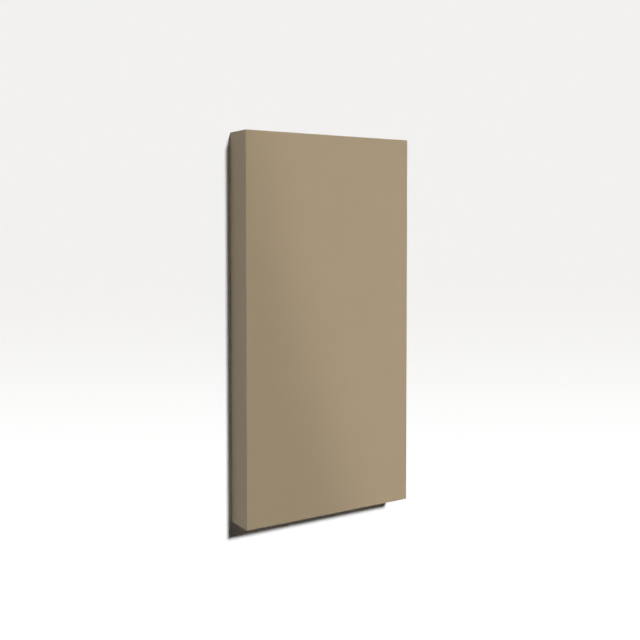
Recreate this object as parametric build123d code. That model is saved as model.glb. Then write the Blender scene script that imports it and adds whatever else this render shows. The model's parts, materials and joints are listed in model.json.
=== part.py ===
# A fabric-wrapped acoustic wall panel, lying on its back with the face up.
#
# One rigid glass-fibre board is wrapped in one piece of woven cloth. The cloth lies on the face, turns over
# the four edges and ends on the back as a glued hem, which leaves the middle of the board's back bare. At
# each corner the cloth of the long edge is carried round, and the cloth of the short edge is cut and butted
# to it. That seam runs up the short edge beside the corner, and on across the hem as a mitre.
#
# Millimetres. X is the panel's width, Y its length, with the upper end of the hung panel at +Y, and Z is
# out of the face. The origin is the centre of the back, on the plane of the hems.

import os

from build123d import *

# Driving dimensions
board_length = 1219.2  # a 48 in board
board_width = 609.6  # 24 in
board_thickness = 101.6  # 4 in
board_arris_radius = 1.5  # the hardened edges are eased, so that they don't cut the cloth
cloth_thickness = 1.0
hem_width = 50.0  # how far the cloth reaches onto the back, from the panel's outer edge
seam_gap = 0.4  # between two butted edges of the cloth

# Outside of the wrapped panel: the cloth lies on the board all round
panel_length = board_length + 2 * cloth_thickness
panel_width = board_width + 2 * cloth_thickness
panel_thickness = board_thickness + 2 * cloth_thickness
panel_arris_radius = board_arris_radius + cloth_thickness

# The flat parts of the outside end where the rounding of the edges begins
flat_half_width = panel_width / 2 - panel_arris_radius
flat_half_length = panel_length / 2 - panel_arris_radius
face_rounding_start = panel_thickness - panel_arris_radius

bare_back_width = panel_width - 2 * hem_width
bare_back_length = panel_length - 2 * hem_width

ON_FLOOR = (Align.CENTER, Align.CENTER, Align.MIN)
CORNERS = [(side, end) for side in (-1, 1) for end in (-1, 1)]


def rounded_slab(width, length, thickness, radius):
    """A slab that stands on the XY plane, with all its edges and corners rounded."""
    slab = Box(width, length, thickness, align=ON_FLOOR)
    return fillet(slab.edges(), radius)


def make_core_board():
    """The glass-fibre board, raised by the hem that it lies on."""
    board = rounded_slab(board_width, board_length, board_thickness, board_arris_radius)
    return Pos(0, 0, cloth_thickness) * board


def corner_seam(side, end):
    """The slit beside one corner: up the short edge, from the back to where the face's rounding begins."""
    slit = Box(seam_gap, panel_arris_radius, face_rounding_start, align=ON_FLOOR)
    beside_corner = side * (flat_half_width - seam_gap / 2)
    in_short_edge = end * (flat_half_length + panel_arris_radius / 2)
    return Pos(beside_corner, in_short_edge, 0) * slit


def hem_mitre(side, end):
    """The slit across the hem: from the foot of the corner seam to the corner of the bare back."""
    outer_end = Vector(side * flat_half_width, end * flat_half_length)
    inner_end = Vector(side * bare_back_width / 2, end * bare_back_length / 2)
    run = inner_end - outer_end
    slit = Box(run.length + seam_gap, seam_gap, cloth_thickness, align=ON_FLOOR)
    return Plane(outer_end + run * 0.5, x_dir=run, z_dir=(0, 0, 1)) * slit


def make_fabric_wrap(board):
    """The cloth: a rounded shell that fits the board, without the bare back, and cut at the corners."""
    wrap = rounded_slab(panel_width, panel_length, panel_thickness, panel_arris_radius) - board
    wrap -= Box(bare_back_width, bare_back_length, cloth_thickness, align=ON_FLOOR)
    for side, end in CORNERS:
        wrap -= corner_seam(side, end)
        wrap -= hem_mitre(side, end)
    return wrap


core_board = make_core_board()
fabric_wrap = make_fabric_wrap(core_board)

os.makedirs("parts", exist_ok=True)
for node, shape in {"core_board": core_board, "fabric_wrap": fabric_wrap}.items():
    export_step(shape, f"parts/{node}.step")
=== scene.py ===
# A fabric-wrapped acoustic wall panel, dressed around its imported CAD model.
#
# The panel lies on its back with the face up. One piece of woven cloth is stretched over a board of
# resin-bonded glass fibre, turned over its four edges and glued to the back as a hem. The cloth of each
# long edge is carried round both its corners, and the cloth of the short edge is butted to it in a seam,
# which runs on across the hem as a mitre. The middle of the board's back is bare.
#
# Metres. X is the panel's width, Y its length, with the upper end of the hung panel at +Y, and Z is out of
# the face. The origin is the centre of the back, on the plane of the hems.

import json
from collections import namedtuple

import bmesh
import bpy
import numpy as np
from bpy.props import FloatProperty, FloatVectorProperty, IntProperty, PointerProperty
from mathutils import Matrix, Vector


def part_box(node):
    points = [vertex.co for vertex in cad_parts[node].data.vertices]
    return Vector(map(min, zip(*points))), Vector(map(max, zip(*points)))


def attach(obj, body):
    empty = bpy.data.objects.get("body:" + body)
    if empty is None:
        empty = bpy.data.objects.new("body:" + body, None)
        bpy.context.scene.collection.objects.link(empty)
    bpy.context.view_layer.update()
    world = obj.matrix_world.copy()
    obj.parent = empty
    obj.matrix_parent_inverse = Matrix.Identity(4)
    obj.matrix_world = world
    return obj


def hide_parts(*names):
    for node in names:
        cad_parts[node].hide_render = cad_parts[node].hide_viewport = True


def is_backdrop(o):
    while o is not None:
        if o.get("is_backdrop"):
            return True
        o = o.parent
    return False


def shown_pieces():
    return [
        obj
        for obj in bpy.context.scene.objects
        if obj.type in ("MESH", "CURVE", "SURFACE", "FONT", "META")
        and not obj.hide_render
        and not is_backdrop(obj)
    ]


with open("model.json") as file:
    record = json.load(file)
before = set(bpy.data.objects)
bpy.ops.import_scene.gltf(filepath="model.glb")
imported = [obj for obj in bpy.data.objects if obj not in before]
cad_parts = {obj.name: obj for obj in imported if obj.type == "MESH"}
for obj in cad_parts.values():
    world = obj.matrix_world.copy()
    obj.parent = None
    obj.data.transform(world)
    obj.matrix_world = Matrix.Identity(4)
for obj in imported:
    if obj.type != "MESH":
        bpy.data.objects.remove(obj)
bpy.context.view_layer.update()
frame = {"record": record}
CLOTH_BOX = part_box("fabric_wrap")
BOARD_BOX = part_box("core_board")
SLOT_COLOURS = {material["slot"]: material["base_color"] for material in frame["record"]["materials"]}

bl_info = {
    "name": "Fabric Acoustic Wall Panel",
    "version": (1, 0, 0),
    "blender": (4, 5, 0),
    "location": "View3D > Sidebar > Acoustic Panel",
    "description": "Wraps the panel's board in woven cloth, finishes its back and sets it on a pale floor",
    "category": "Object",
}

BODY = "root"
CLOTH_THICKNESS = BOARD_BOX[0].z - CLOTH_BOX[0].z
CLOTH_HALF = np.array(CLOTH_BOX[1][:2])  # half the panel's width and length, over the cloth
MM = 0.001

# Seeds of what is left to chance
WAVES_SEED = 11
LONG_HEM_SEED = 20
SHORT_HEM_SEED = 30
FELT_SEED = 5
FRAY_SEED = 41
FIBRE_SEED = 73


class ClothSettings(bpy.types.PropertyGroup):
    """The woven cloth, its hems and its corners."""

    colour: FloatVectorProperty(
        name="Colour",
        description="Mean colour of the cloth",
        subtype="COLOR",
        size=3,
        min=0.0,
        max=1.0,
        default=(0.3873, 0.3014, 0.1917),
    )
    yarn_pitch: FloatProperty(
        name="Yarn pitch",
        description="Distance between neighbouring yarns, in both directions",
        unit="LENGTH",
        min=0.3 * MM,
        max=5 * MM,
        default=0.85 * MM,
    )
    arris_radius: FloatProperty(
        name="Arris radius",
        description="Outside radius of the cloth where it turns over an edge",
        unit="LENGTH",
        min=0.5 * MM,
        max=10 * MM,
        default=2.5 * MM,
    )
    hem: FloatProperty(
        name="Hem",
        description="How far the cloth reaches onto the back, from the panel's outer edge",
        unit="LENGTH",
        min=10 * MM,
        max=150 * MM,
        default=50 * MM,
    )
    mitre_gap: FloatProperty(
        name="Mitre gap",
        description="Width of the gap between two hems at the corner of the bare back",
        unit="LENGTH",
        min=0.0,
        max=5 * MM,
        default=0.9 * MM,
    )
    seam_depth: FloatProperty(
        name="Seam depth",
        description="How deep the butted edges sink at a corner's seam",
        unit="LENGTH",
        min=0.0,
        max=1 * MM,
        default=0.7 * MM,
    )
    tuck: FloatProperty(
        name="Tuck",
        description="How far a long edge's cloth reaches in under a short edge's, beyond the seam",
        unit="LENGTH",
        min=15 * MM,
        max=100 * MM,
        default=45 * MM,
    )
    fray: FloatProperty(
        name="Fray",
        description="Middle length of the yarn ends that stand out of the hems' cut edges",
        unit="LENGTH",
        min=0.2 * MM,
        max=5 * MM,
        default=1.3 * MM,
    )
    unevenness: FloatProperty(
        name="Unevenness",
        description="Height of the slow waves in the stretched cloth",
        unit="LENGTH",
        min=0.0,
        max=2 * MM,
        default=0.12 * MM,
    )


class BoardSettings(bpy.types.PropertyGroup):
    """The glass-fibre board."""

    colour: FloatVectorProperty(
        name="Colour",
        description="Mean colour of the resin-bonded glass fibre",
        subtype="COLOR",
        size=3,
        min=0.0,
        max=1.0,
        default=SLOT_COLOURS["glass_fibre_board"],
    )
    relief: FloatProperty(
        name="Relief",
        description="Height of the felted surface's unevenness on the bare back",
        unit="LENGTH",
        min=0.0,
        max=2 * MM,
        default=0.35 * MM,
    )
    loose_fibres: IntProperty(
        name="Loose fibres",
        description="How many fibre bundles lie loose on the bare back",
        min=0,
        max=4000,
        default=1500,
    )
    fibre_length: FloatProperty(
        name="Fibre length",
        description="Middle length of the loose fibre bundles",
        unit="LENGTH",
        min=2 * MM,
        max=40 * MM,
        default=12 * MM,
    )


class StudioSettings(bpy.types.PropertyGroup):
    """The floor, the light and the camera."""

    backdrop: FloatVectorProperty(
        name="Backdrop",
        description="Colour of the floor and of what is behind it, as the camera sees them",
        subtype="COLOR",
        size=3,
        min=0.0,
        max=1.0,
        default=(0.887, 0.879, 0.863),
    )
    floor: FloatProperty(
        name="Floor reflectance",
        description="Share of the light that the floor throws back onto the panel",
        subtype="FACTOR",
        min=0.0,
        max=1.0,
        default=0.8,
    )
    key: FloatProperty(
        name="Key light",
        description="Share of full brightness that the key light gives the face and the floor",
        min=0.0,
        max=2.0,
        default=0.77,
    )
    sky: FloatProperty(
        name="Sky light",
        description="Share of full brightness that comes evenly from above",
        min=0.0,
        max=2.0,
        default=0.01,
    )
    side_fill: FloatProperty(
        name="Side fill",
        description="Share of full brightness that a lamp on the level gives each side of the panel",
        min=0.0,
        max=2.0,
        default=0.45,
    )
    from_below: FloatProperty(
        name="Light from below",
        description="Brightness of the even light from below, on the panel's back",
        min=0.0,
        max=2.0,
        default=1.0,
    )
    wash: FloatProperty(
        name="Wash",
        description="Share of full brightness that the spot adds to the upper right of the face",
        min=0.0,
        max=1.0,
        default=0.188,
    )
    lens: FloatProperty(
        name="Lens",
        description="Focal length for a sensor 36 mm wide",
        subtype="DISTANCE_CAMERA",
        min=10.0,
        max=300.0,
        default=50.75,
    )


# Geometry

# One grid of points on a surface, with each point's outward direction, its place on the flat cloth and,
# where it counts, its distance to the nearest seam
Patch = namedtuple("Patch", "points outward flat seam")

# The cloth's samples: round an edge's arc, out from a seam, in from a long edge's ends and from the top and
# foot of a side, and the steps between those on the face and on a side
ARC_STEPS = 6
SEAM_STEPS = np.array((0.0, 0.2, 0.4, 0.7, 1.1, 1.7, 2.4, 3.2, 5.0, 8.0, 12.0, 18.0, 26.0, 36.0, 50.0)) * MM
EDGE_STEPS = np.array((0.0, 1.5, 4.0, 8.0, 14.0, 22.0, 34.0, 50.0)) * MM
SIDE_STEPS = np.array((0.0, 0.8, 2.0, 4.0, 8.0)) * MM
OPEN_STEP = 10 * MM
SIDE_STEP = 9 * MM

MERGE_DISTANCE = 0.001 * MM
TUBE_SIDES = 4


def smooth(value, start, end):
    """A smooth step: 0 before start, 1 after end, and 3s^2 - 2s^3 between, s being the share of the way."""
    share = np.clip((value - start) / (end - start), 0, 1)
    return share * share * (3 - 2 * share)


def spread(half, near_ends, step):
    """Samples from -half to half: at near_ends from either end, and about a step apart between."""
    inner = half - near_ends[-1]
    middle = np.linspace(-inner, inner, 2 * round(inner / step) + 1)
    return np.concatenate((near_ends[:-1] - half, middle, half - near_ends[-2::-1]))


def over_edge(low, high, radius):
    """The path from the upper face over an edge to the back: a quarter arc, the straight side and a quarter
    arc under it. Rows: reach from the arcs' axis, level, the outward direction's level and upright parts,
    and the length run so far."""
    turn = np.linspace(0, np.pi / 2, ARC_STEPS + 1)
    straight = high - low - 2 * radius
    side = (low + high) / 2 - spread(straight / 2, SIDE_STEPS, SIDE_STEP)[1:-1]
    flat = np.ones_like(side)
    quarter = radius * np.pi / 2
    top, bottom = high - radius, low + radius
    rows = (
        (radius * np.sin(turn), radius * flat, radius * np.cos(turn)),
        (top + radius * np.cos(turn), side, bottom - radius * np.sin(turn)),
        (np.sin(turn), flat, np.cos(turn)),
        (np.cos(turn), 0 * flat, -np.sin(turn)),
        (radius * turn, quarter + top - side, quarter + straight + radius * turn),
    )
    return np.array([np.concatenate(row) for row in rows])


def carried_round(path, axis_x, axis_y, angle, mirror):
    """The path over the edge, carried along the axis points and turned to each one's angle from +X: a point
    is axis + reach (cos angle, sin angle), at the path's level. mirror changes the sign of x, y or
    neither."""
    reach, level, out, up = path[:4, :, None]
    cosine, sine = np.cos(angle), np.sin(angle)
    points = np.array((axis_x + reach * cosine, axis_y + reach * sine, level + 0 * angle))
    outward = np.array((out * cosine, out * sine, up + 0 * angle))
    sign = np.array(mirror)[:, None, None]
    return np.moveaxis(points * sign, 0, -1), np.moveaxis(outward * sign, 0, -1)


def grid(xs, ys, level, up):
    """A flat grid of points over xs and ys, facing up or down."""
    x, y = np.meshgrid(xs, ys, indexing="ij")
    points = np.stack((x, y, np.full_like(x, level)), axis=-1)
    return points, np.broadcast_to((0.0, 0.0, up), points.shape)


def quads(patch):
    """A patch's faces as corner numbers, turned so that they face outward: the product of its two
    directions, added up over the patch, has to point the way that its outward directions do."""
    rows, columns = patch.points.shape[:2]
    first = np.arange(rows * columns).reshape(rows, columns)
    ring = (first[:-1, :-1], first[1:, :-1], first[1:, 1:], first[:-1, 1:])
    corners = np.stack(ring, axis=-1).reshape(-1, 4)
    across = patch.points[1:, :-1] - patch.points[:-1, :-1]
    along = patch.points[:-1, 1:] - patch.points[:-1, :-1]
    facing = (np.cross(across, along) * patch.outward[:-1, :-1]).sum()
    return corners if facing > 0 else corners[:, ::-1]


def mesh_object(name, points, faces, flat=None):
    """A mesh piece from points and faces, its doubles merged, with the flat cloth's places as its UV
    map."""
    mesh = bpy.data.meshes.new(name)
    mesh.from_pydata(points.tolist(), [], faces.tolist())
    if flat is not None:
        layer = mesh.uv_layers.new(name="flat_cloth")
        layer.data.foreach_set("uv", flat[faces.ravel()].astype(np.float32).ravel())
    merged = bmesh.new()
    merged.from_mesh(mesh)
    bmesh.ops.remove_doubles(merged, verts=merged.verts, dist=MERGE_DISTANCE)
    merged.to_mesh(mesh)
    merged.free()
    mesh.shade_smooth()
    piece = bpy.data.objects.new(name, mesh)
    bpy.context.scene.collection.objects.link(piece)
    return piece


def joined(name, patches):
    """One mesh piece from several patches whose borders meet."""
    starts = np.cumsum([0] + [patch.points[..., 0].size for patch in patches[:-1]])
    return mesh_object(
        name,
        np.concatenate([patch.points.reshape(-1, 3) for patch in patches]),
        np.concatenate([quads(patch) + start for patch, start in zip(patches, starts, strict=True)]),
        np.concatenate([patch.flat.reshape(-1, 2) for patch in patches]),
    )


def slow_waves(points, lengths, seed):
    """A seeded sum of plane waves, between about -1 and 1, each with its own direction and length."""
    chance = np.random.default_rng(seed)
    total = np.zeros(points.shape[:-1])
    for length in lengths:
        direction = chance.normal(size=3)
        direction *= 2 * np.pi / length / np.linalg.norm(direction)
        total += np.sin(points @ direction + chance.uniform(0, 2 * np.pi))
    return total / np.sqrt(len(lengths))


class Slab:
    """What the cloth's and the board's patches share: half the flat width and length, between the roundings
    of the edges, the lowest and highest level, the edges' radius and the path over an edge."""

    def __init__(self, box, radius):
        self.radius = radius
        self.half_width = box[1].x - radius
        self.half_length = box[1].y - radius
        self.low = box[0].z
        self.high = box[1].z
        self.path = over_edge(self.low, self.high, radius)

    def long_band(self, side, ys, arc):
        """The long edge's surface, with both corners: the path over the edge goes along the corner's arc,
        the straight edge and the other corner's arc."""
        ends = np.ones_like(arc) * self.half_length
        axis_y = np.concatenate((-ends, ys[1:-1], ends))
        angle = np.concatenate((-arc, np.zeros(len(ys) - 2), arc[::-1]))
        points, outward = carried_round(self.path, self.half_width, axis_y, angle, (side, 1, 1))
        run = self.half_width + self.path[4][:, None]
        flat = np.stack(np.broadcast_arrays(side * run, axis_y + self.path[0][:, None] * angle), axis=-1)
        to_seam = self.path[0][:, None] * (np.pi / 2 - abs(angle)) + self.half_length - abs(axis_y)
        return Patch(points, outward, flat, to_seam)

    def short_band(self, end, xs):
        """The short edge's surface, straight between the two corners."""
        angle = np.full_like(xs, np.pi / 2)
        points, outward = carried_round(self.path, xs, self.half_length, angle, (1, end, 1))
        run = self.half_length + self.path[4][:, None]
        flat = np.stack(np.broadcast_arrays(xs, end * run), axis=-1)
        to_seam = np.broadcast_to(self.half_width - abs(xs), points.shape[:2])
        return Patch(points, outward, flat, to_seam)


# The cloth

# Rows across a hem, as shares of its depth
HEM_ROWS = np.append(np.linspace(0, 0.9, 13), (0.94, 0.97, 0.985, 1.0))

# How far a hem's cut edge wavers, the lengths of its waves, the share of the hem's depth at which the waver
# begins, and the length of hem beside each mitre over which it dies out
WAVER = 0.5 * MM
WAVER_WAVES = (0.011, 0.017, 0.029, 0.071)
WAVER_START = 0.6
WAVER_FADE = 60 * MM

# The lengths of the slow waves in the stretched cloth
CLOTH_WAVES = (0.31, 0.26, 0.21, 0.17, 0.13, 0.11, 0.09)

# The corner seam: the width of its groove's bell, the lip's share of the groove's depth and its place in
# those widths, the levels below the face between which the groove begins, the share of its depth that it
# has on the pressed hem, and the height over which it gets the rest
SEAM_WIDTH = 0.6 * MM
LIP_SHARE = 0.25
LIP_PLACE = 2.2
SEAM_BEGINS = (1 * MM, 5 * MM)
SHARE_ON_HEM = 0.35
SEAM_FOOT = 8 * MM

# The step over the tucked cloth: its height, the distances from the seam between which it rises, half the
# distance over which it falls at its far end, and the height over which it grows below the face and above
# the back
TUCK_STEP = 0.3 * MM
TUCK_RISE = (0.5 * MM, 4 * MM)
TUCK_FALL = 3 * MM
TUCK_FOOT = 6 * MM

# The corner puckers: their height, and how far down the edge they have sunk to about a third of it
PUCKER = 0.14 * MM
PUCKER_DROP = 9 * MM

# The frayed yarns: the longest, how far under the hem each begins, its thickness from there to its tip, as
# shares, and the heights above the floor between which it stays
LONGEST_YARN = 9 * MM
YARN_ROOT = 0.8 * MM
YARN_TAPER = np.array((0.0, 1.0, 0.9, 0.6, 0.0))
YARN_LEVELS = (0.2 * MM, 0.85 * MM)


def bare_half(cloth):
    """Half the bare back's width and length."""
    return CLOTH_HALF - cloth.hem


def hem_patch(slab, along, side, half_across, half_along, settings, seed):
    """One hem on the back, as a trapezoid from the rounding to the cut edge. Going in by t, its half length
    shrinks by t, and by its share of the mitre's gap, which opens evenly. Towards the cut edge it wavers by
    a seeded sum of waves, which dies out beside the mitres. Returned with x across the hem and y along
    it."""
    deep = settings.hem - slab.radius
    share = HEM_ROWS[:, None]
    waver = WAVER * slow_waves(np.stack((along, 0 * along, 0 * along), -1), WAVER_WAVES, seed)
    waver = waver * smooth(half_along - abs(along), 0.0, WAVER_FADE)
    inward = share * deep + smooth(share, WAVER_START, 1.0) * waver
    shrunk = 1 - (share * deep + share * settings.mitre_gap / 2) / half_along
    across = side * (half_across - inward)
    down = along * shrunk
    points = np.stack(np.broadcast_arrays(across, down, slab.low + 0 * across), axis=-1)
    run = half_across + slab.path[4][-1] + inward
    flat = np.stack(np.broadcast_arrays(side * run, down), axis=-1)
    to_seam = half_along - share * deep - abs(down)
    outward = np.broadcast_to((0.0, 0.0, -1.0), points.shape)
    return Patch(points, outward, flat, to_seam)


def turned(patch):
    """The patch with x and y changed over, for what lies along the short edges."""
    order = [1, 0, 2]
    return Patch(patch.points[..., order], patch.outward, patch.flat[..., ::-1], patch.seam)


def seam_relief(slab, patch, settings):
    """How far the cloth stands out near a corner's seam, below 0 in the groove. The groove is a bell curve
    over the distance to the seam with a low lip beside it. It fades out below the face, and is shallow on
    the hem, which is pressed flat."""
    level = patch.points[..., 2]
    away = patch.seam / SEAM_WIDTH
    groove = -settings.seam_depth * np.exp(-(away**2))
    lip = LIP_SHARE * settings.seam_depth * np.exp(-((away - LIP_PLACE) ** 2))
    below_face = smooth(slab.high - slab.radius - level, *SEAM_BEGINS)
    above_back = SHARE_ON_HEM + (1 - SHARE_ON_HEM) * smooth(level, 0, SEAM_FOOT)
    return (groove + lip) * below_face * above_back


def tucked_allowance(slab, patch, settings):
    """The long edge's cloth is glued in under the short edge's beyond the seam, and shows through it as a
    low step: up beside the seam, and down again at its far end."""
    level = patch.points[..., 2]
    rise = smooth(patch.seam, *TUCK_RISE)
    fall = smooth(patch.seam, settings.tuck - TUCK_FALL, settings.tuck + TUCK_FALL)
    below_face = smooth(slab.high - slab.radius - level, TUCK_RISE[0], TUCK_FOOT)
    above_back = smooth(level - slab.radius, 0, TUCK_FOOT)
    return TUCK_STEP * (rise - fall) * (below_face * above_back)


def corner_puckers(slab, patch):
    """Two small folds below the face at each corner, where the cloth goes round two arcs at once: the
    square of a sine over the corner's quarter turn, which dies out down the edge."""
    beyond = abs(patch.points[..., :2]) - (slab.half_width, slab.half_length)
    turn = np.arctan2(beyond[..., 0], beyond[..., 1])
    down = slab.high - patch.points[..., 2]
    rounded = smooth(down, 0, 2 * slab.radius)
    return PUCKER * np.sin(2 * turn) ** 2 * np.exp(-down / PUCKER_DROP) * rounded * (beyond[..., 1] > 0)


def laid_cloth(slab, patch, relief, settings):
    """The patch moved along its outward directions by its relief and the slow waves of stretched cloth, and
    kept above the floor, which presses the hems flat."""
    waves = slow_waves(patch.points, CLOTH_WAVES, WAVES_SEED)
    points = patch.points + patch.outward * (relief + settings.unevenness * waves)[..., None]
    points[..., 2] = np.maximum(points[..., 2], slab.low)
    return patch._replace(points=points)


def cloth_patches(settings):
    """The cloth's outside as patches: the face, two long bands with the corners, two short bands and four
    hems."""
    slab = Slab(CLOTH_BOX, settings.arris_radius)
    xs = spread(slab.half_width, SEAM_STEPS, OPEN_STEP)
    ys = spread(slab.half_length, EDGE_STEPS, OPEN_STEP)
    quarter = slab.radius * np.pi / 2
    arc = np.pi / 2 - np.append(SEAM_STEPS[SEAM_STEPS < quarter], quarter) / slab.radius
    points, outward = grid(xs, ys, slab.high, 1.0)
    face = Patch(points, outward, points[..., :2], None)
    patches = [laid_cloth(slab, face, 0.0, settings)]
    half_width, half_length = slab.half_width, slab.half_length
    for side in (-1, 1):
        long_band = slab.long_band(side, ys, arc)
        relief = seam_relief(slab, long_band, settings) + corner_puckers(slab, long_band)
        patches.append(laid_cloth(slab, long_band, relief, settings))
        short_band = slab.short_band(side, xs)
        relief = seam_relief(slab, short_band, settings) + tucked_allowance(slab, short_band, settings)
        patches.append(laid_cloth(slab, short_band, relief, settings))
        long_hem = hem_patch(slab, ys, side, half_width, half_length, settings, LONG_HEM_SEED + side)
        short_hem = hem_patch(slab, xs, side, half_length, half_width, settings, SHORT_HEM_SEED + side)
        for hem in (long_hem, turned(short_hem)):
            patches.append(laid_cloth(slab, hem, seam_relief(slab, hem, settings), settings))
    return slab, patches


def flat_area(patches):
    """The flat cloth's area: half the product of the two diagonals of each grid cell, added up."""
    total = 0.0
    for patch in patches:
        one = patch.flat[1:, 1:] - patch.flat[:-1, :-1]
        other = patch.flat[1:, :-1] - patch.flat[:-1, 1:]
        total += abs(one[..., 0] * other[..., 1] - one[..., 1] * other[..., 0]).sum() / 2
    return total


def tubes(name, centres, radii):
    """Thin closed tubes, one for each row of centres. At each centre a ring stands across the path, on one
    level direction and one square to it: centre + radius (cos q level + sin q upright). Both ends have no
    radius."""
    path = np.gradient(centres, axis=1)
    path /= np.linalg.norm(path, axis=-1, keepdims=True)
    level = np.cross(path, (0.0, 0.0, 1.0))
    level /= np.linalg.norm(level, axis=-1, keepdims=True)
    upright = np.cross(level, path)
    turn = np.arange(TUBE_SIDES) * 2 * np.pi / TUBE_SIDES
    ring = np.cos(turn)[:, None] * level[:, :, None, :] + np.sin(turn)[:, None] * upright[:, :, None, :]
    points = centres[:, :, None, :] + radii[:, :, None, None] * ring
    count, steps = centres.shape[:2]
    number = np.arange(count * steps * TUBE_SIDES).reshape(count, steps, TUBE_SIDES)
    after = np.roll(number, -1, axis=2)
    faces = np.stack((number[:, :-1], after[:, :-1], after[:, 1:], number[:, 1:]), axis=-1).reshape(-1, 4)
    return mesh_object(name, points.reshape(-1, 3), faces[:, ::-1])


def cut_edge(settings):
    """Every yarn's end along the hems' cut edges: its place, and the direction into the bare back."""
    half = bare_half(settings)
    places, inwards = [], []
    for along in (1, 0):
        count = int(2 * half[along] / settings.yarn_pitch)
        run = (np.arange(count) + 0.5) * settings.yarn_pitch - half[along]
        for side in (-1, 1):
            place = np.zeros((count, 2))
            place[:, along] = run
            place[:, 1 - along] = side * half[1 - along]
            inward = np.zeros((count, 2))
            inward[:, 1 - along] = -side
            places.append(place)
            inwards.append(inward)
    return np.concatenate(places), np.concatenate(inwards)


# The board

# The felted back: the lengths of its waves, the value that cuts off their rare heights, and how far in from
# the hems it is whole
FELT_WAVES = np.array((110, 60, 41, 33, 27, 23, 19, 17, 16, 15)) * MM
FELT_LIMIT = 1.8
FELT_FADE = 6 * MM

# The board's samples: in from an edge's end, the steps between those, and round an edge's arc
BOARD_ENDS = np.array((0.0, 2.5)) * MM
BOARD_STEP = 5 * MM
BOARD_ARC_STEPS = 3

# Loose fibre bundles: the number of places along each, how far in from the hems they begin, how near to
# those they come, the longest, how far their ends stand off the board, and how far all keep off the floor
FIBRE_STEPS = 8
FIBRE_MARGIN = 14 * MM
FIBRE_CLEARANCE = 4 * MM
LONGEST_FIBRE = 34 * MM
FIBRE_PROUD = 0.1 * MM
FIBRE_LEVEL = 0.2 * MM


def felted_back(places, settings, cloth):
    """How far the board's bare back is sunk at each place: the relief times a seeded sum of waves, cut off
    at its rare heights, and fading out towards the hems."""
    inside = smooth(bare_half(cloth) - abs(places), 0, FELT_FADE).prod(axis=-1)
    felt = slow_waves(np.concatenate((places, 0 * places[..., :1]), axis=-1), FELT_WAVES, FELT_SEED)
    return settings.relief * inside * np.clip(felt, -FELT_LIMIT, FELT_LIMIT)


# Materials

# The weave's relief, as shares of its depth: how far a yarn's middle stands above its sides, how far it
# rises and sinks between its neighbours, and the mean height of what shows, at which the cloth has its mean
# colour. Above that height the colour is painted lighter and below it darker, as painted shade of the
# relief.
# YARN_SIDE is how steeply a yarn's sides fall: the least, and what its own chance adds at most.
YARN_CROWN = 0.6
YARN_RISE = 0.4
YARN_SIDE = (3.3, 1.4)
MEAN_HEIGHT = 0.66

# The depth of the relief, the yarns' wander and their slow bow over the panel, all in pitches, and how many
# waves to the metre the wander and the bow have
RELIEF_DEPTH = 0.25
WANDER = 0.5
BOW = 5.0
WANDER_WAVES = 60.0
BOW_WAVES = 3.0

# Weft yarns are numbered from here, so that none has a warp yarn's number
FIRST_WEFT = 4000.0


class Value:
    """A shader socket that takes arithmetic: every operator adds one Math node to its material."""

    def __init__(self, shader, socket):
        self.shader = shader
        self.socket = socket

    def math(self, operation, *values):
        return self.shader.node("ShaderNodeMath", {"operation": operation}, values)

    def other(self, name):
        """Another output of the same node."""
        return Value(self.shader, self.socket.node.outputs[name])

    def __add__(self, value):
        return self.math("ADD", self, value)

    __radd__ = __add__

    def __sub__(self, value):
        return self.math("SUBTRACT", self, value)

    def __rsub__(self, value):
        return self.math("SUBTRACT", value, self)

    def __mul__(self, value):
        return self.math("MULTIPLY", self, value)

    __rmul__ = __mul__

    def __truediv__(self, value):
        return self.math("DIVIDE", self, value)

    def __abs__(self):
        return self.math("ABSOLUTE", self)

    def floor(self):
        return self.math("FLOOR", self)

    def root(self):
        return self.math("SQRT", self)

    def cosine(self):
        return self.math("COSINE", self)

    def arctangent(self):
        return self.math("ARCTANGENT", self)

    def larger(self, value):
        return self.math("MAXIMUM", self, value)

    def above(self, value):
        """1 where it is above the value, and 0 elsewhere."""
        return self.math("GREATER_THAN", self, value)

    def clamped(self, low, high):
        return self.math("MINIMUM", self.larger(low), high)


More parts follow.
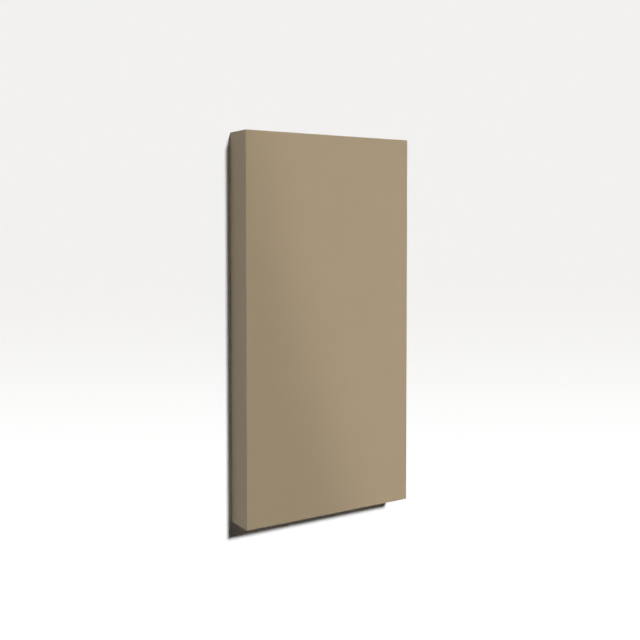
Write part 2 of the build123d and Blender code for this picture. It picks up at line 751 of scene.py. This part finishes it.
class Shader:
    """A material or the world as a node tree that is written out in calls."""

    def __init__(self, owner):
        owner.use_nodes = True
        self.tree = owner.node_tree
        self.tree.nodes.clear()

    def node(self, kind, settings=None, values=(), output=0):
        """Adds a node, gives it its settings, then the values or links of its inputs, by name or in
        order."""
        made = self.tree.nodes.new(kind)
        for name, setting in (settings or {}).items():
            setattr(made, name, setting)
        named = values.items() if isinstance(values, dict) else enumerate(values)
        for key, value in named:
            if isinstance(value, Value):
                self.tree.links.new(value.socket, made.inputs[key])
            else:
                made.inputs[key].default_value = value
        return Value(self, made.outputs[output]) if len(made.outputs) else None

    def object_place(self):
        """The place on the object."""
        return self.node("ShaderNodeTexCoord", output="Object")

    def noise(self, place, scale, detail=2.0, roughness=0.5, distortion=0.0):
        """Noise from 0 to 1, with about as many waves to each unit of the place as its scale."""
        values = {
            "Vector": place,
            "Scale": scale,
            "Detail": detail,
            "Roughness": roughness,
            "Distortion": distortion,
        }
        return self.node("ShaderNodeTexNoise", {"noise_dimensions": "3D"}, values)

    def chance(self, number):
        """A number of chance between 0 and 1 for each whole number."""
        return self.node("ShaderNodeTexWhiteNoise", {"noise_dimensions": "1D"}, {"W": number})

    def strands(self, place, scale, distortion, width):
        """Thin curling lines: 1 where distorted noise passes its middle value, and 0 past the width."""
        above = self.noise(place, scale, detail=3.0, distortion=distortion) - 0.5
        return (1.0 - abs(above) / width).clamped(0.0, 1.0)

    def vector(self, x, y, z):
        return self.node("ShaderNodeCombineXYZ", None, (x, y, z))

    def parts(self, vector):
        """The vector's x, y and z."""
        x = self.node("ShaderNodeSeparateXYZ", None, (vector,))
        return x, x.other("Y"), x.other("Z")

    def mix(self, share, one, other):
        """A colour between one and other."""
        values = {"Factor": share, "A": one, "B": other}
        return self.node("ShaderNodeMix", {"data_type": "RGBA"}, values, output="Result")

    def mixed_surface(self, share, one, other):
        """A surface, or a world's light, between one and other."""
        return self.node("ShaderNodeMixShader", None, (share, one, other))

    def scaled(self, colour, amount):
        """The colour times an amount that changes over the surface."""
        values = {"Vector": colour, "Scale": amount}
        return self.node("ShaderNodeVectorMath", {"operation": "SCALE"}, values)

    def step(self, value, low, high, result_low=0.0, result_high=1.0):
        """A smooth step of the value, from result_low at low to result_high at high."""
        values = (value, low, high, result_low, result_high)
        return self.node("ShaderNodeMapRange", {"interpolation_type": "SMOOTHSTEP"}, values)

    def bump(self, height, distance, strength):
        values = {"Height": height, "Distance": distance, "Strength": strength}
        return self.node("ShaderNodeBump", None, values)

    def surface(self, values):
        """Gives the material its one surface, from the values or links of its inputs."""
        surface = self.node("ShaderNodeBsdfPrincipled", None, values)
        self.node("ShaderNodeOutputMaterial", None, {"Surface": surface})


def opaque(colour):
    """The colour with an alpha of 1, as colour sockets take it."""
    return (*colour, 1.0)


def shade_of(colour, amount, tint=(1.0, 1.0, 1.0)):
    """The colour times an amount and a tint, worked out in Python."""
    return opaque([min(part * amount * hue, 1.0) for part, hue in zip(colour, tint, strict=True)])


def cloth_material(settings):
    """A plain weave on the cloth's own flat places, where the yarns wander a little and bow slowly. A warp
    yarn's height is a parabola across it, wider or narrower from yarn to yarn, and a cosine along it, which
    takes it over one weft yarn and under the next. A weft yarn's is the same with the opposite sign. The
    higher of the two shows, so that each yarn comes up as a row of ovals. Every yarn has its own tone,
    twisted fibres and now and then a thicker stretch. The base colour also carries painted shade of the
    weave's relief: lighter on the yarns' high parts, and darker where they lie deep between each other."""
    material = bpy.data.materials.new("woven_cloth")
    shader = Shader(material)
    place = shader.node("ShaderNodeUVMap", {"uv_map": "flat_cloth"})
    x, y, _ = shader.parts(place)
    wander_x, wander_y, _ = shader.parts(shader.noise(place, WANDER_WAVES).other("Color"))
    bow_x, bow_y, _ = shader.parts(shader.noise(place, BOW_WAVES, detail=1.0).other("Color"))
    u = x / settings.yarn_pitch + WANDER * (wander_x - 0.5) + BOW * (bow_x - 0.5)
    v = y / settings.yarn_pitch + WANDER * (wander_y - 0.5) + BOW * (bow_y - 0.5)
    column, row = u.floor(), v.floor()
    off_warp, off_weft = u - column - 0.5, v - row - 0.5
    warp_own, weft_own = shader.chance(column), shader.chance(row + FIRST_WEFT)
    least_side, more_side = YARN_SIDE
    warp_side = (least_side + more_side * warp_own) * off_warp * off_warp
    weft_side = (least_side + more_side * weft_own) * off_weft * off_weft
    warp_height = YARN_CROWN * (1.0 - warp_side) + YARN_RISE * (np.pi * (v - 0.5 + column)).cosine()
    weft_height = YARN_CROWN * (1.0 - weft_side) - YARN_RISE * (np.pi * (u - 0.5 + row)).cosine()
    weft = weft_height.above(warp_height)
    height = warp_height.larger(weft_height)
    yarn = column + weft * (row - column + FIRST_WEFT)
    own = warp_own + weft * (weft_own - warp_own)
    run = v + weft * (u - v)
    across = off_warp + weft * (off_weft - off_warp)
    slub = shader.noise(shader.vector(yarn * 3.7, run * 0.035, 0.0), 1.0, detail=1.0)
    fibres = shader.noise(shader.vector(across * 7.0 + run * 2.2, run * 0.7, yarn * 1.3), 1.0)
    clouds = shader.noise(shader.object_place(), 9.0, detail=4.0, roughness=0.62)
    # Painted shade of the weave's relief: the colour is darker where the yarns lie deep and lighter on
    # their high parts. The rest of this brightness is the yarns' own tone, fibres, slubs and clouds.
    painted_gap_shade = (0.35 - height).clamped(0.0, 1.0)
    light = 1.0 + 0.48 * (height - MEAN_HEIGHT) - 0.6 * painted_gap_shade + 0.08 * (own - 0.5) + 0.34 * (fibres - 0.5)
    light = light + 0.07 * (slub - 0.5) + 0.04 * (clouds - 0.5)
    warp_colour = shade_of(settings.colour, 1.0, (1.02, 1.005, 0.985))
    weft_colour = shade_of(settings.colour, 1.0, (0.98, 0.995, 1.015))
    colour = shader.scaled(shader.mix(weft, warp_colour, weft_colour), light)
    relief = height * (0.85 + 0.3 * slub) + 0.3 * fibres
    shader.surface(
        {
            "Base Color": colour,
            "Roughness": 0.98 - 0.1 * height,
            "Specular IOR Level": 0.18,
            "Sheen Weight": 0.06,
            "Sheen Roughness": 0.6,
            "Normal": shader.bump(relief, RELIEF_DEPTH * settings.yarn_pitch, 0.8),
        },
    )
    return material


def yarn_material(settings):
    """The frayed yarn ends: the cloth's colour, a little paler, in finer and broader shades."""
    material = bpy.data.materials.new("frayed_yarn")
    shader = Shader(material)
    place = shader.object_place()
    fibres = shader.noise(place, 3500.0)
    shades = shader.noise(place, 260.0, detail=1.0)
    light = 1.0 + 0.3 * (fibres - 0.5) + 0.35 * (shades - 0.5)
    shader.surface(
        {
            "Base Color": shader.scaled(shade_of(settings.colour, 1.12)[:3], light),
            "Roughness": 0.85 + 0.1 * fibres,
            "Specular IOR Level": 0.2,
            "Normal": shader.bump(fibres, 0.05 * MM, 0.6),
        },
    )
    return material


def board_material(settings):
    """Felted glass fibre in resin: strands that swirl in every direction in the board's plane, as the
    narrow ridges where distorted noise passes its middle value, in a coarse and a fine set, over soft
    clouds of density, with a few amber flecks of binder."""
    material = bpy.data.materials.new("glass_fibre_board")
    shader = Shader(material)
    place = shader.object_place()
    clouds = shader.noise(place, 14.0, detail=4.0, roughness=0.6)
    tufts = shader.noise(place, 95.0, detail=3.0, distortion=1.2)
    strands = shader.strands(place, 170.0, distortion=3.0, width=0.055)
    fine = shader.strands(place, 520.0, distortion=4.5, width=0.09)
    fleck = shader.node("ShaderNodeTexVoronoi", {"feature": "F1"}, {"Vector": place, "Scale": 110.0})
    flecks = shader.step(fleck, 0.04, 0.15, 1.0, 0.0) * shader.step(tufts, 0.5, 0.6)
    pale = shade_of(settings.colour, 1.32, (1.0, 1.0, 1.2))
    deep = shade_of(settings.colour, 0.76, (1.0, 0.92, 0.76))
    amber = (0.36, 0.2, 0.06, 1.0)
    share = 0.4 + 0.45 * (clouds - 0.5) + 0.7 * (tufts - 0.5)
    share = (share + 0.42 * (strands - 0.2) + 0.3 * (fine - 0.25)).clamped(0.0, 1.0)
    colour = shader.mix(flecks * 0.6, shader.mix(share, deep, pale), amber)
    shader.surface(
        {
            "Base Color": colour,
            "Roughness": 0.9 - 0.25 * fine,
            "Specular IOR Level": 0.3,
            "Normal": shader.bump(0.6 * tufts + 0.35 * strands + 0.12 * fine, 0.7 * MM, 0.8),
        },
    )
    return material


def fibre_material(settings):
    """Loose bundles of glass fibre: paler than the board, with a slight gloss."""
    material = bpy.data.materials.new("loose_glass_fibre")
    shader = Shader(material)
    place = shader.object_place()
    shades = shader.noise(place, 70.0)
    fine = shader.noise(place, 2400.0, detail=1.0)
    pale = shade_of(settings.colour, 1.38, (1.0, 1.04, 1.5))
    deep = shade_of(settings.colour, 0.95)
    shader.surface(
        {
            "Base Color": shader.mix(shader.step(shades, 0.35, 0.65), deep, pale),
            "Roughness": 0.4 + 0.3 * fine,
            "Specular IOR Level": 0.45,
        },
    )
    return material


# The studio

# The photograph's view: the camera's place, its turn to the side and down, and the shift of its frame
CAMERA_PLACE = (-1.5643, 0.3077, 2.5295)
CAMERA_YAW = np.radians(-32.86)
CAMERA_PITCH = np.radians(-2.39)
FRAME_SHIFT = (-0.01875, -0.08125)

# The floor's half width, where it begins to fade into the backdrop and where it has done so, and how far it
# reaches in under the panel's rounding, as a share of that
FLOOR_REACH = 14.0
FADE = (2.5, 6.0)
FLOOR_UNDER = 0.35

# Lines through this place on the floor look level in the photograph's view. Between two of them, given by
# their slopes, the floor turns from white, towards the panel's lower end, to the backdrop's colour. What is
# less than the nearest distance beyond the place counts as that far.
FAN_CENTRE = (-5.98, 0.308)
FAN_NEAREST = 1.0
WHITE_SLOPE = -0.1457
BACKDROP_SLOPE = -0.0272
WHITE = (1.02, 1.02, 1.02, 1.0)

# How bright each side of the panel is, as a share of what a floor in the cloth's colour would be
LEFT_GLOW = 0.64
RIGHT_GLOW = 0.83
LOWER_GLOW = 0.64
UPPER_GLOW = 0.98

# The wash's soft edge passes through a place on the face and is square to the way in which the light gets
# brighter. The spot hangs some way along that and above the face, and has the brightness that is wanted at
# the lit place.
WASH_EDGE = (-0.122, 0.0)
WASH_WAY = (0.962, 0.273)
WASH_ALONG = 1.3
WASH_ABOVE = 4.0
WASH_LIT = (0.15, 0.1)
WASH_HALF_ANGLE = np.radians(75)
WASH_BLEND = 0.0826
WASH_RADIUS = 0.04

# The lamps with parallel light: where they are, how wide they look, in degrees, and the fills' colour
TOWARDS_KEY = (0.15, 0.53, 1.0)
KEY_WIDTH = 7.0
FILL_WAYS = {"left": (-1, 0, 0), "right": (1, 0, 0), "lower": (0, -1, 0)}
FILL_WIDTH = 10.0
FILL_COLOUR = (0.73, 0.83, 1.0)

# The upright parts of a direction between which the light from below gives way to the sky's
HORIZON = (-0.06, -0.01)


# Operators


class PANEL_OT_wrap_cloth(bpy.types.Operator):
    """Stretch the woven cloth over the board, with its seams at the corners and its hems on the back"""

    bl_idname = "panel.wrap_cloth"
    bl_label = "Wrap Cloth"

    def execute(self, context):
        settings = context.scene.panel_cloth
        slab, patches = cloth_patches(settings)
        cloth = joined("wrapped_cloth", patches)
        cloth.data.materials.append(cloth_material(settings))
        thick = cloth.modifiers.new("thickness", "SOLIDIFY")
        thick.thickness = CLOTH_THICKNESS
        thick.offset = -1.0
        thick.use_even_offset = True
        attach(cloth, BODY)
        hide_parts("fabric_wrap")
        turned_over = slab.path[4][-1] + settings.hem - slab.radius
        width = 2 * (slab.half_width + turned_over)
        length = 2 * (slab.half_length + turned_over)
        flat_area(patches)
        return {"FINISHED"}


class PANEL_OT_fray_hems(bpy.types.Operator):
    """Let the yarns' ends stand out of the hems' cut edges"""

    bl_idname = "panel.fray_hems"
    bl_label = "Fray Hems"

    def execute(self, context):
        settings = context.scene.panel_cloth
        chance = np.random.default_rng(FRAY_SEED)
        places, inward = cut_edge(settings)
        count = len(places)
        sideways = inward[:, ::-1]
        lean = chance.normal(0, 0.35, count)
        curl = chance.normal(0, 0.5, count)
        length = np.minimum(settings.fray * chance.lognormal(0.0, 0.6, count), LONGEST_YARN)
        share = np.linspace(0, 1, len(YARN_TAPER))
        reach = length[:, None] * share - YARN_ROOT * (1 - share)
        drift = length[:, None] * (lean[:, None] * share + curl[:, None] * share**2)
        flat = places[:, None] + inward[:, None] * reach[..., None] + sideways[:, None] * drift[..., None]
        rise = chance.uniform(0.3, 0.75, count)[:, None] * MM
        rise = rise + chance.normal(0, 0.12, (count, len(share))) * MM
        level = CLOTH_BOX[0].z + np.clip(rise, *YARN_LEVELS)
        centres = np.concatenate((flat, level[..., None]), axis=-1)
        radii = chance.uniform(0.12, 0.2, count)[:, None] * MM * YARN_TAPER
        yarns = tubes("frayed_yarns", centres, radii)
        yarns.data.materials.append(yarn_material(settings))
        yarns.parent = bpy.data.objects["wrapped_cloth"]
        return {"FINISHED"}


class PANEL_OT_press_board(bpy.types.Operator):
    """Press the glass-fibre board, whose felted back shows between the hems"""

    bl_idname = "panel.press_board"
    bl_label = "Press Board"

    def execute(self, context):
        settings = context.scene.panel_board
        cloth = context.scene.panel_cloth
        slab = Slab(BOARD_BOX, cloth.arris_radius - CLOTH_THICKNESS)
        xs = spread(slab.half_width, BOARD_ENDS, BOARD_STEP)
        ys = spread(slab.half_length, BOARD_ENDS, BOARD_STEP)
        arc = np.linspace(np.pi / 2, 0, BOARD_ARC_STEPS + 1)
        back, down = grid(xs, ys, slab.low, -1.0)
        back[..., 2] += felted_back(back[..., :2], settings, cloth)
        patches = [Patch(back, down, back[..., :2], None)]
        for side in (-1, 1):
            patches.append(slab.long_band(side, ys, arc))
            patches.append(slab.short_band(side, xs))
            patches.append(self.top_fan(slab, ys, side * slab.half_width, 0))
            patches.append(self.top_fan(slab, xs, side * slab.half_length, 1))
        board = joined("glass_fibre_board", patches)
        board.data.materials.append(board_material(settings))
        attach(board, BODY)
        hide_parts("core_board")
        return {"FINISHED"}

    def top_fan(self, slab, along, reach, axis):
        """A quarter of the hidden upper face, from one edge's points to the centre. The axis is the one
        that the edge lies square to, and reach is its place on it."""
        border = np.zeros((len(along), 3))
        border[:, axis] = reach
        border[:, 1 - axis] = along
        points = np.stack((border, 0 * border))
        points[..., 2] = slab.high
        return Patch(points, np.broadcast_to((0.0, 0.0, 1.0), points.shape), points[..., :2], None)


class PANEL_OT_strew_fibres(bpy.types.Operator):
    """Lay loose bundles of glass fibre on the bare back"""

    bl_idname = "panel.strew_fibres"
    bl_label = "Strew Fibres"

    def execute(self, context):
        settings = context.scene.panel_board
        cloth = context.scene.panel_cloth
        chance = np.random.default_rng(FIBRE_SEED)
        count = settings.loose_fibres
        begin_in, stay_in = bare_half(cloth) - FIBRE_MARGIN, bare_half(cloth) - FIBRE_CLEARANCE
        start = chance.uniform(-1, 1, (count, 2)) * begin_in
        length = np.minimum(settings.fibre_length * chance.lognormal(0.0, 0.5, count), LONGEST_FIBRE)
        heading = chance.uniform(0, 2 * np.pi, count)[:, None]
        bend = chance.normal(0, 0.9, count)[:, None]
        wriggle = chance.normal(0, 0.25, (count, FIBRE_STEPS)).cumsum(axis=1)
        share = np.linspace(0, 1, FIBRE_STEPS)
        turn = heading + bend * share + wriggle
        stride = length[:, None] / (FIBRE_STEPS - 1)
        steps_on = np.stack((np.cos(turn), np.sin(turn)), axis=-1) * stride[..., None]
        flat = np.clip(start[:, None] + steps_on.cumsum(axis=1), -stay_in, stay_in)
        lift = np.sin(np.pi * share) * chance.uniform(0.1, 0.55, count)[:, None] * MM
        level = BOARD_BOX[0].z + felted_back(flat, settings, cloth) - FIBRE_PROUD - lift
        level = np.maximum(level, CLOTH_BOX[0].z + FIBRE_LEVEL)
        centres = np.concatenate((flat, level[..., None]), axis=-1)
        radii = chance.uniform(0.07, 0.17, count)[:, None] * MM * np.sin(np.pi * share) ** 0.4
        fibres = tubes("surface_fibres", centres, radii)
        fibres.data.materials.append(fibre_material(settings))
        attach(fibres, BODY)
        return {"FINISHED"}


class PANEL_OT_set_studio(bpy.types.Operator):
    """Set the pale floor, the soft light and the camera"""

    bl_idname = "panel.set_studio"
    bl_label = "Set Studio"

    def execute(self, context):
        scene = context.scene
        scene.view_settings.view_transform = "Standard"
        settings = scene.panel_studio
        self.camera(scene, settings)
        self.floor(scene, settings)
        self.lights(scene, settings)
        self.world(scene, settings)
        return {"FINISHED"}

    def camera(self, scene, settings):
        """The camera, which looks from where the photograph was taken."""
        data = bpy.data.cameras.new("camera")
        data.lens = settings.lens
        data.shift_x, data.shift_y = FRAME_SHIFT
        camera = bpy.data.objects.new("camera", data)
        scene.collection.objects.link(camera)
        turn = Matrix.Rotation(CAMERA_YAW, 4, "Y") @ Matrix.Rotation(CAMERA_PITCH, 4, "X")
        camera.matrix_world = Matrix.Translation(CAMERA_PLACE) @ turn
        scene.camera = camera

    def floor(self, scene, settings):
        """A wide floor, open where the panel lies on it, so that the light from below reaches its back. The
        strip between the floor and where the panel touches it is there for the camera alone, and lets that
        light through too."""
        material = self.floor_material(settings, scene.panel_cloth.colour)
        radius = scene.panel_cloth.arris_radius
        opening = CLOTH_HALF - FLOOR_UNDER * radius
        self.flat_frame(scene, "floor", np.full(2, FLOOR_REACH), opening, material)
        strip = self.flat_frame(scene, "floor_under_foot", opening, CLOTH_HALF - radius, material)
        strip.visible_diffuse = False
        strip.visible_glossy = False
        strip.visible_transmission = False
        strip.visible_shadow = False

    def flat_frame(self, scene, name, outer, inner, material):
        """Four faces on the floor's level, between two rectangles round the origin."""
        sides = np.array(((-1, -1), (1, -1), (1, 1), (-1, 1)))
        corners = np.pad(np.concatenate((sides * outer, sides * inner)), ((0, 0), (0, 1)))
        faces = [(k, (k + 1) % 4, 4 + (k + 1) % 4, 4 + k) for k in range(4)]
        mesh = bpy.data.meshes.new(name)
        mesh.from_pydata(corners.tolist(), [], faces)
        mesh.materials.append(material)
        floor = bpy.data.objects.new(name, mesh)
        scene.collection.objects.link(floor)
        floor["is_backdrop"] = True
        return floor

    def floor_material(self, settings, cloth_colour):
        """A matt floor. The camera sees the backdrop's colour on it, rising to white towards the panel's
        lower end, and fading into the backdrop far away. The light that the panel's sides throw on it is
        taken out of that colour beforehand, so that it looks even beside them. It is clear from below."""
        material = bpy.data.materials.new("studio_floor")
        shader = Shader(material)
        place = shader.object_place()
        x, y, _ = shader.parts(place)
        distance = shader.node("ShaderNodeVectorMath", {"operation": "LENGTH"}, (place,), output="Value")
        far = shader.step(distance, *FADE)
        slope = (y - FAN_CENTRE[1]) / (x - FAN_CENTRE[0]).larger(FAN_NEAREST)
        white = shader.step(slope, WHITE_SLOPE, BACKDROP_SLOPE, 1.0, 0.0) * (1.0 - far)
        lit = settings.key + settings.sky
        seen = shader.mix(white, opaque(settings.backdrop), WHITE)
        gain = (cloth_colour, self.glow_beside_panel(x, y), (1.0, 1.0, 1.0))
        brighter = shader.node("ShaderNodeVectorMath", {"operation": "MULTIPLY_ADD"}, gain)
        even = shader.node("ShaderNodeVectorMath", {"operation": "DIVIDE"}, (seen, brighter))
        near = shader.node("ShaderNodeBsdfDiffuse", None, {"Color": shader.scaled(even, 1.0 / lit)})
        far_off = shader.node("ShaderNodeEmission", None, {"Color": opaque(settings.backdrop)})
        shown = shader.mixed_surface(far, near, far_off)
        plain = shader.node("ShaderNodeBsdfDiffuse", None, {"Color": opaque([settings.floor] * 3)})
        above = shader.mixed_surface(self.looked_at(shader), plain, shown)
        below = shader.node("ShaderNodeBsdfTransparent")
        backfacing = shader.node("ShaderNodeNewGeometry", output="Backfacing")
        surface = shader.mixed_surface(backfacing, above, below)
        shader.node("ShaderNodeOutputMaterial", None, {"Surface": surface})
        return material

    def glow_beside_panel(self, x, y):
        """How much light the panel's sides would throw on a place on the floor if the cloth were white, as
        a share of the floor's own light: each side's brightness times the share of the light from there."""
        half_width, half_length = CLOTH_HALF
        sideways = LEFT_GLOW + (RIGHT_GLOW - LEFT_GLOW) * x.above(0.0)
        endways = LOWER_GLOW + (UPPER_GLOW - LOWER_GLOW) * y.above(0.0)
        from_side = self.share_from_side(abs(x) - half_width, y, half_length)
        from_end = self.share_from_side(abs(y) - half_length, x, half_width)
        return sideways * from_side + endways * from_end

    def share_from_side(self, out, along, half):
        """The share of an even light that one upright side of the panel takes up, at a distance d out from
        it: for both its ends, with b the run along it to that end and r the root of d^2 + height^2,
        arctan(b / d) - d / r arctan(b / r), added up and divided by 2 pi. It is 0 behind the side."""
        height = CLOTH_BOX[1].z
        distance = out.larger(0.001 * MM)
        slant = (distance * distance + height**2).root()
        share = 0.0
        for run in (half + along, half - along):
            share = share + (run / distance).arctangent()
            share = share - distance / slant * (run / slant).arctangent()
        return share / (2 * np.pi) * out.above(0.0)

    def looked_at(self, shader):
        """1 for what the camera sees, straight, mirrored or through something clear."""
        camera = shader.node("ShaderNodeLightPath", output="Is Camera Ray")
        glossy, clear = camera.other("Is Glossy Ray"), camera.other("Is Transmission Ray")
        return (camera + glossy + clear).clamped(0.0, 1.0)

    def lights(self, scene, settings):
        """The key light comes from the upper end, so that the panel's shadow falls below it and to its
        left. The wash and the three level lamps light only the panel."""
        towards_key = Vector(TOWARDS_KEY).normalized()
        self.sun(scene, "key", towards_key, settings.key / towards_key.z, KEY_WIDTH)
        lamps = [self.wash(scene, settings)]
        for name, towards in FILL_WAYS.items():
            fill = self.sun(scene, name + "_fill", Vector(towards), settings.side_fill, FILL_WIDTH)
            fill.data.color = FILL_COLOUR
            lamps.append(fill)
        panel_only = bpy.data.collections.new("lit_apart_from_the_floor")
        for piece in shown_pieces():
            panel_only.objects.link(piece)
        for lamp in lamps:
            lamp.light_linking.receiver_collection = panel_only

    def wash(self, scene, settings):
        """A spot high over the right of the face, turned so that the middle of its soft edge meets the
        edge's line. Its power is the brightness wanted on the face times 4 pi squared, the cube of its
        distance and one over its height."""
        face = CLOTH_BOX[1].z
        edge = Vector((*WASH_EDGE, face))
        way = Vector((*WASH_WAY, 0.0)).normalized()
        apex = edge + way * WASH_ALONG + Vector((0.0, 0.0, WASH_ABOVE))
        to_edge = (edge - apex).normalized()
        inward = (way - to_edge * way.dot(to_edge)).normalized()
        cosine = np.cos(WASH_HALF_ANGLE)
        middle = np.arccos(cosine + (1 - cosine) * WASH_BLEND / 2)
        aim = to_edge * np.cos(middle) + inward * np.sin(middle)
        away = (apex - Vector((*WASH_LIT, face))).length
        data = bpy.data.lights.new("wash", "SPOT")
        data.energy = settings.wash * 4 * np.pi**2 * away**3 / (apex.z - face)
        data.spot_size = 2 * WASH_HALF_ANGLE
        data.spot_blend = WASH_BLEND
        data.shadow_soft_size = WASH_RADIUS
        wash = bpy.data.objects.new("wash", data)
        wash.matrix_world = Matrix.Translation(apex) @ aim.to_track_quat("-Z", "Y").to_matrix().to_4x4()
        scene.collection.objects.link(wash)
        return wash

    def sun(self, scene, name, towards, share, width):
        """A lamp with parallel light, which adds a share of full brightness to what faces it."""
        data = bpy.data.lights.new(name, "SUN")
        data.energy = np.pi * share
        data.angle = np.radians(width)
        lamp = bpy.data.objects.new(name, data)
        lamp.rotation_euler = towards.to_track_quat("Z", "Y").to_euler()
        scene.collection.objects.link(lamp)
        return lamp

    def world(self, scene, settings):
        """A little light from above, and much from below, for the back. The camera sees the backdrop's
        plain colour."""
        world = bpy.data.worlds.new("studio")
        shader = Shader(world)
        towards = shader.node("ShaderNodeTexCoord", output="Generated")
        _, _, height = shader.parts(towards)
        strength = shader.step(height, *HORIZON, settings.from_below, settings.sky)
        white = opaque((1.0, 1.0, 1.0))
        light = shader.node("ShaderNodeBackground", None, {"Color": white, "Strength": strength})
        backdrop = shader.node("ShaderNodeBackground", None, {"Color": opaque(settings.backdrop)})
        surface = shader.mixed_surface(self.looked_at(shader), light, backdrop)
        shader.node("ShaderNodeOutputWorld", None, {"Surface": surface})
        scene.world = world


class VIEW3D_PT_acoustic_panel(bpy.types.Panel):
    """The steps of the panel's making, with the sizes and colours that they take"""

    bl_label = "Acoustic Panel"
    bl_space_type = "VIEW_3D"
    bl_region_type = "UI"
    bl_category = "Acoustic Panel"

    def draw(self, context):
        scene = context.scene
        for settings in (scene.panel_cloth, scene.panel_board, scene.panel_studio):
            box = self.layout.box()
            for name in settings.__annotations__:
                box.prop(settings, name)
        for operator in OPERATORS:
            self.layout.operator(operator.bl_idname)


SETTINGS = {"panel_cloth": ClothSettings, "panel_board": BoardSettings, "panel_studio": StudioSettings}
OPERATORS = (
    PANEL_OT_press_board,
    PANEL_OT_strew_fibres,
    PANEL_OT_wrap_cloth,
    PANEL_OT_fray_hems,
    PANEL_OT_set_studio,
)
CLASSES = (*SETTINGS.values(), *OPERATORS, VIEW3D_PT_acoustic_panel)


def register():
    for cls in CLASSES:
        bpy.utils.register_class(cls)
    for name, settings in SETTINGS.items():
        setattr(bpy.types.Scene, name, PointerProperty(type=settings))


def unregister():
    for name in SETTINGS:
        delattr(bpy.types.Scene, name)
    for cls in reversed(CLASSES):
        bpy.utils.unregister_class(cls)


def main():
    """Makes the pieces and sets the studio, one operator after the other."""
    register()
    bpy.ops.panel.press_board()
    bpy.ops.panel.strew_fibres()
    bpy.ops.panel.wrap_cloth()
    bpy.ops.panel.fray_hems()
    bpy.ops.panel.set_studio()


if __name__ == "__main__":
    main()
